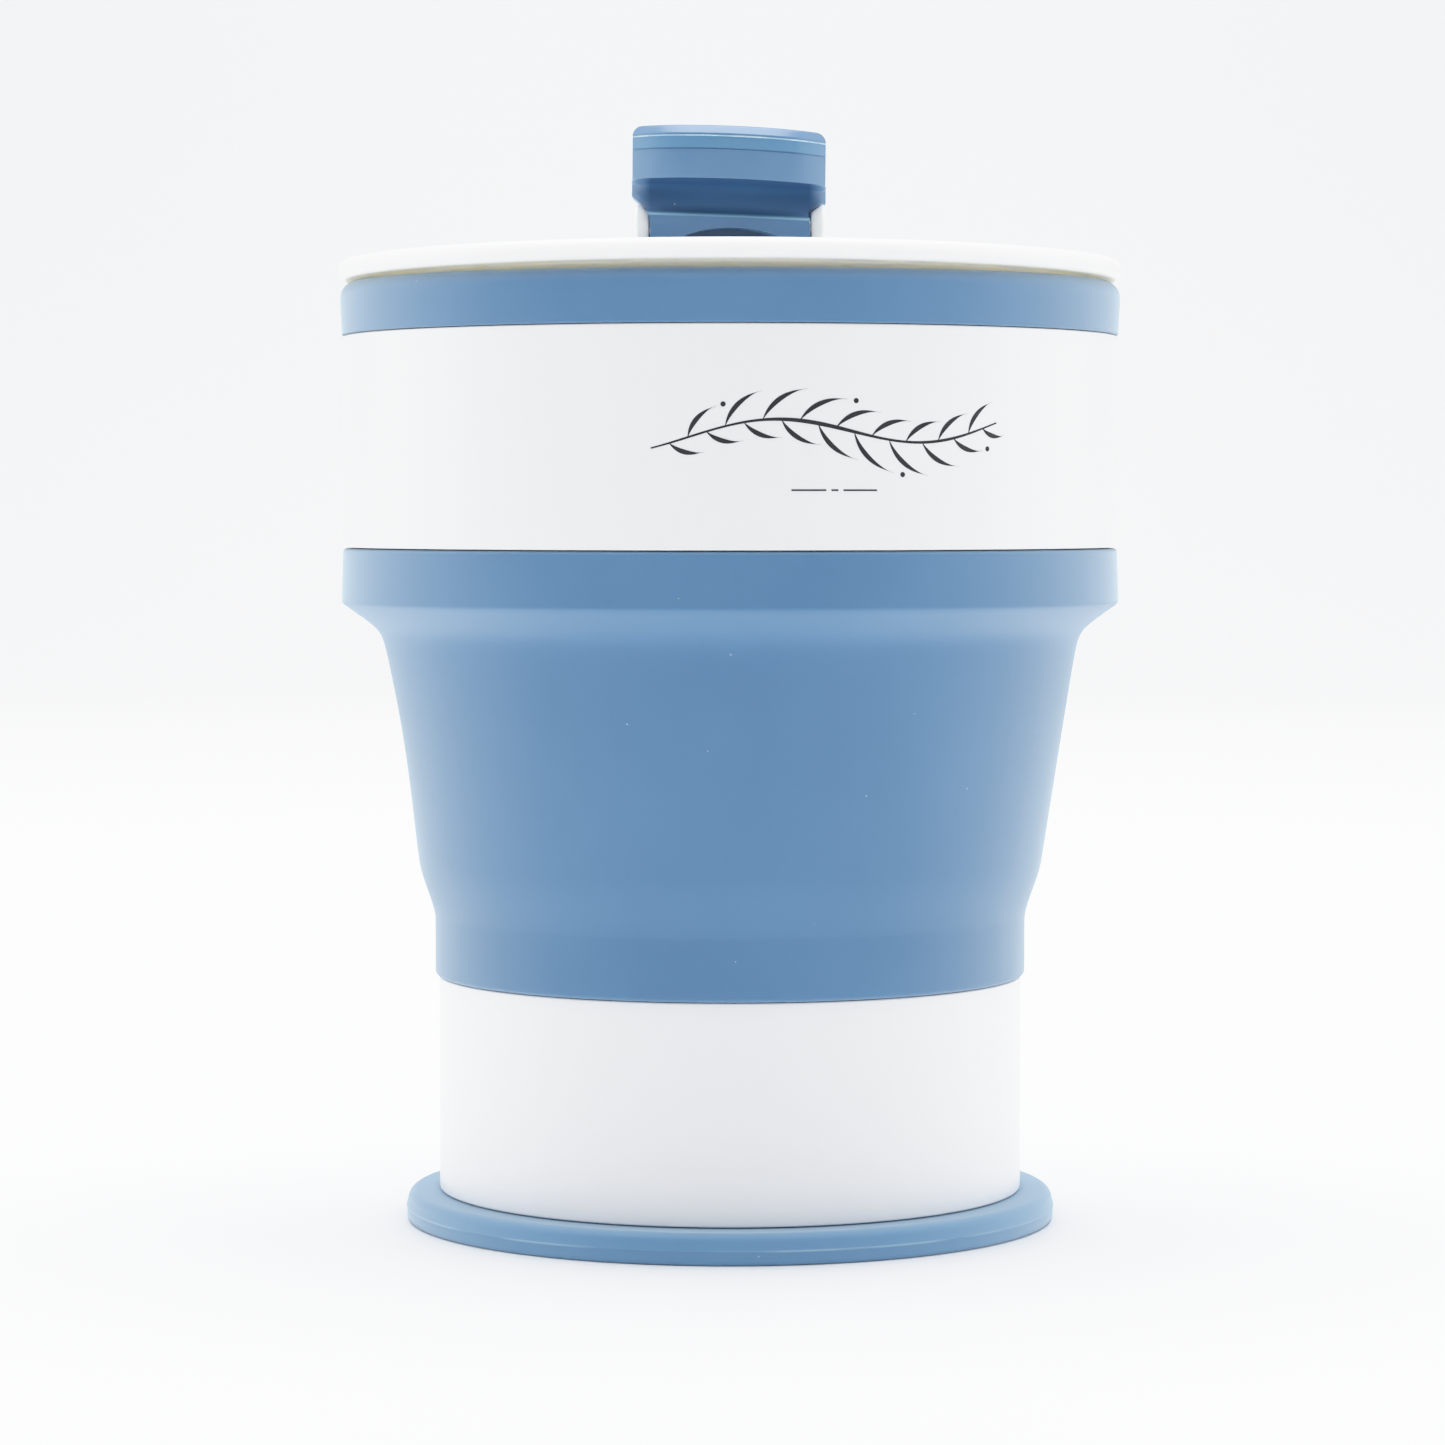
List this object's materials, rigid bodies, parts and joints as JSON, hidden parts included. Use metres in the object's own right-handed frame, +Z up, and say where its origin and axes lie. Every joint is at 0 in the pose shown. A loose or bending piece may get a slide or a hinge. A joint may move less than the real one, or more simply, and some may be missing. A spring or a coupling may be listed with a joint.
{
  "type": "collapsible travel cup",
  "caption": "Tall silicone travel cup with hard sleeves that folds down into itself, with a press-in lid and a flip-up sip lever.",
  "frame": {"origin": "centre of the underside, on the axis of the cup", "axes": "+Z up along the cup's axis, -Y the front, where the head of the lever faces, +Y the drinking side of the lid"},
  "size_m": [0.095, 0.095, 0.133],
  "materials": {
    "coaster_silicone": "matte silicone",
    "body_silicone": "matte silicone",
    "sleeve_plastic": "satin",
    "lid_plastic": "satin",
    "pin_steel": "brushed",
    "lever_plastic": "satin",
    "plug_silicone": "matte silicone"
  },
  "bodies": {
    "base": {"base_coaster": "coaster_silicone", "lower_sleeve": "sleeve_plastic", "silicone_base_cup": "body_silicone", "silicone_fold_wall": "body_silicone"},
    "upper": {"silicone_rim_collar": "body_silicone", "upper_sleeve": "sleeve_plastic"},
    "lid": {"lid_plate": "lid_plastic", "hinge_pin": "pin_steel"},
    "lever": {"sip_lever": "lever_plastic", "sip_plug": "plug_silicone"}
  },
  "joints": [
    {"name": "collapse", "type": "slide", "parent": "base", "child": "upper", "axis": [0, 0, -1], "range_m": [0, 0.07], "deforming": ["silicone_fold_wall"]},
    {"name": "lid_lift", "type": "slide", "parent": "upper", "child": "lid", "axis": [0, 0, 1], "range_m": [0, 0.04]},
    {"name": "lever_flip", "type": "hinge", "parent": "lid", "child": "lever", "pos_m": [0, 0.007, 0.1211], "axis": [1, 0, 0], "range_deg": [0, 68]}
  ]
}
